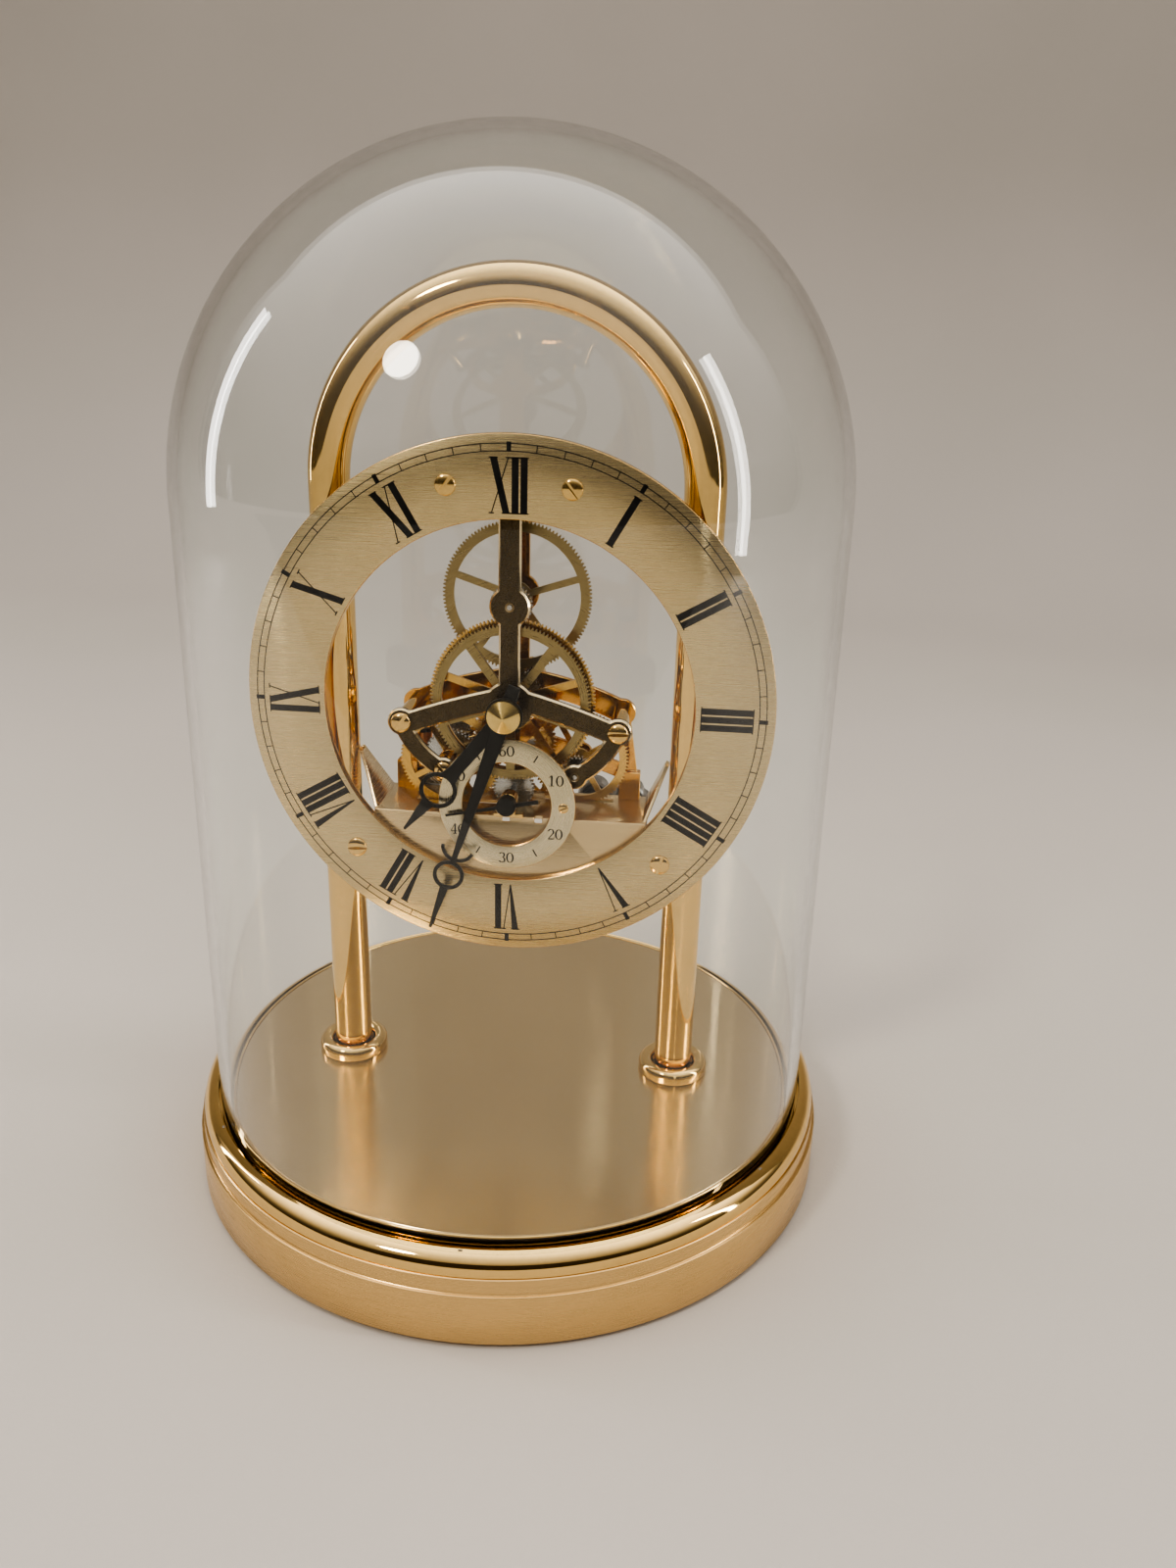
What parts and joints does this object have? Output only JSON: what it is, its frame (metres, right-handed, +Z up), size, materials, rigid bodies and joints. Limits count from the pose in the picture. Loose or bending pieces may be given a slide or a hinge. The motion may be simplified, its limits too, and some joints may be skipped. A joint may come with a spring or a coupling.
{
  "type": "anniversary clock",
  "caption": "Skeleton mantel clock with a ring dial, small seconds dial and geared hands on an arched tube, on a round brass base under a lift-off glass dome.",
  "frame": {"origin": "centre of the base's underside, on the surface it stands on", "axes": "+Z up along the dome's axis, -Y the way the dial faces, +X to the viewer's right"},
  "size_m": [0.155, 0.155, 0.235],
  "materials": {
    "satin_brass": "brushed satin, lacquered",
    "polished_brass": "mirror polished, lacquered",
    "dial_champagne": "fine straight brushing, champagne plate",
    "bronze": "dark antique bronze with fine grain and bright bevels",
    "gold_plate": "polished gold plate",
    "wheel_bronze": "satin bronze plate",
    "wheel_gold": "satin gold plate",
    "black_hand": "semi-gloss black",
    "steel": "turned steel",
    "glass": "clear polished",
    "black_plastic": "fine matte texture",
    "rubber": "matte",
    "clear_pad": "translucent soft plastic",
    "cell_wrap": "shrink sleeve",
    "copper": "enamelled copper wire",
    "board": "green solder mask",
    "smoke_plastic": "smoke grey",
    "magnet": "sintered magnet"
  },
  "bodies": {
    "stand": {"base_drum": "satin_brass", "base_rim": "polished_brass", "dome_pads": "clear_pad", "base_deck": "satin_brass", "underplate": "black_plastic", "rubber_feet": "rubber", "battery_cell": "cell_wrap", "battery_contacts": "steel", "arch_tube": "polished_brass", "tube_collars": "polished_brass", "tube_nuts": "steel", "dial_ring": "dial_champagne", "dial_screws": "gold_plate", "dial_brackets": "polished_brass", "seconds_dial": "dial_champagne", "seconds_dial_brackets": "gold_plate", "movement_shelf": "gold_plate", "front_bridge": "bronze", "bridge_pillars": "gold_plate", "bridge_screws": "gold_plate", "plate_screws": "steel", "train_bridge": "gold_plate", "plate_posts": "gold_plate", "rear_plate": "gold_plate", "seconds_bearing": "gold_plate", "motor_bridge": "gold_plate", "stator": "steel", "coil_winding": "copper", "coil_bobbin": "black_plastic", "circuit_covers": "smoke_plastic", "circuit_board": "board", "quartz_crystal": "steel", "circuit_chip": "black_plastic"},
    "dome": {"glass_dome": "glass"},
    "battery_door": {"battery_door": "black_plastic"},
    "minute": {"centre_wheel": "wheel_gold", "centre_arbor": "steel", "minute_hand": "black_hand", "hand_washer": "black_hand", "hand_nut": "gold_plate", "setting_knob": "gold_plate"},
    "hour": {"hour_wheel": "wheel_bronze", "hour_pipe": "gold_plate", "hour_hand": "black_hand"},
    "minute_wheel": {"minute_wheel": "wheel_bronze", "minute_wheel_arbor": "steel"},
    "right_train": {"right_wheel": "wheel_gold", "right_arbor": "steel"},
    "idler_train": {"idler_wheel": "wheel_gold", "idler_arbor": "steel"},
    "left_train": {"left_wheel": "wheel_gold", "left_arbor": "steel"},
    "seconds": {"seconds_wheel": "wheel_gold", "seconds_arbor": "steel", "seconds_hand": "black_hand"},
    "fifth": {"fifth_wheel": "wheel_gold", "fifth_arbor": "steel"},
    "rotor": {"rotor_arbor": "steel", "rotor_magnet": "magnet"}
  },
  "joints": [
    {"name": "dome_lift", "type": "slide", "parent": "stand", "child": "dome", "axis": [0, 0, 1], "range_m": [0, 0.22]},
    {"name": "battery_door_hinge", "type": "hinge", "parent": "stand", "child": "battery_door", "pos_m": [0, 0.0114, 0.0022], "axis": [1, 0, 0], "range_deg": [0, 100]},
    {"name": "seconds_spin", "type": "hinge", "parent": "stand", "child": "seconds", "pos_m": [0, 0, 0.09495], "axis": [0, 1, 0], "continuous": true},
    {"name": "minute_spin", "type": "hinge", "parent": "stand", "child": "minute", "pos_m": [0, 0, 0.1173], "axis": [0, 1, 0], "continuous": true},
    {"name": "hour_spin", "type": "hinge", "parent": "stand", "child": "hour", "pos_m": [0, 0, 0.1173], "axis": [0, 1, 0], "continuous": true},
    {"name": "minute_wheel_spin", "type": "hinge", "parent": "stand", "child": "minute_wheel", "pos_m": [0, 0, 0.1397], "axis": [0, 1, 0], "continuous": true},
    {"name": "right_train_spin", "type": "hinge", "parent": "stand", "child": "right_train", "pos_m": [0.01505, 0, 0.1014], "axis": [0, 1, 0], "continuous": true},
    {"name": "idler_train_spin", "type": "hinge", "parent": "stand", "child": "idler_train", "pos_m": [0, 0, 0.10585], "axis": [0, 1, 0], "continuous": true},
    {"name": "left_train_spin", "type": "hinge", "parent": "stand", "child": "left_train", "pos_m": [-0.01505, 0, 0.1014], "axis": [0, 1, 0], "continuous": true},
    {"name": "fifth_spin", "type": "hinge", "parent": "stand", "child": "fifth", "pos_m": [-0.00818, 0, 0.09968], "axis": [0, 1, 0], "continuous": true},
    {"name": "rotor_spin", "type": "hinge", "parent": "stand", "child": "rotor", "pos_m": [-0.01658, 0, 0.09968], "axis": [0, 1, 0], "continuous": true}
  ],
  "couplings": [
    {"joint": "left_train_spin", "follows": "seconds_spin", "ratio": -0.4},
    {"joint": "idler_train_spin", "follows": "seconds_spin", "ratio": 0.26667},
    {"joint": "right_train_spin", "follows": "seconds_spin", "ratio": -0.1},
    {"joint": "minute_spin", "follows": "seconds_spin", "ratio": 0.016667},
    {"joint": "minute_wheel_spin", "follows": "seconds_spin", "ratio": -0.0055556},
    {"joint": "hour_spin", "follows": "seconds_spin", "ratio": 0.0013889},
    {"joint": "fifth_spin", "follows": "seconds_spin", "ratio": -5},
    {"joint": "rotor_spin", "follows": "seconds_spin", "ratio": 30}
  ]
}
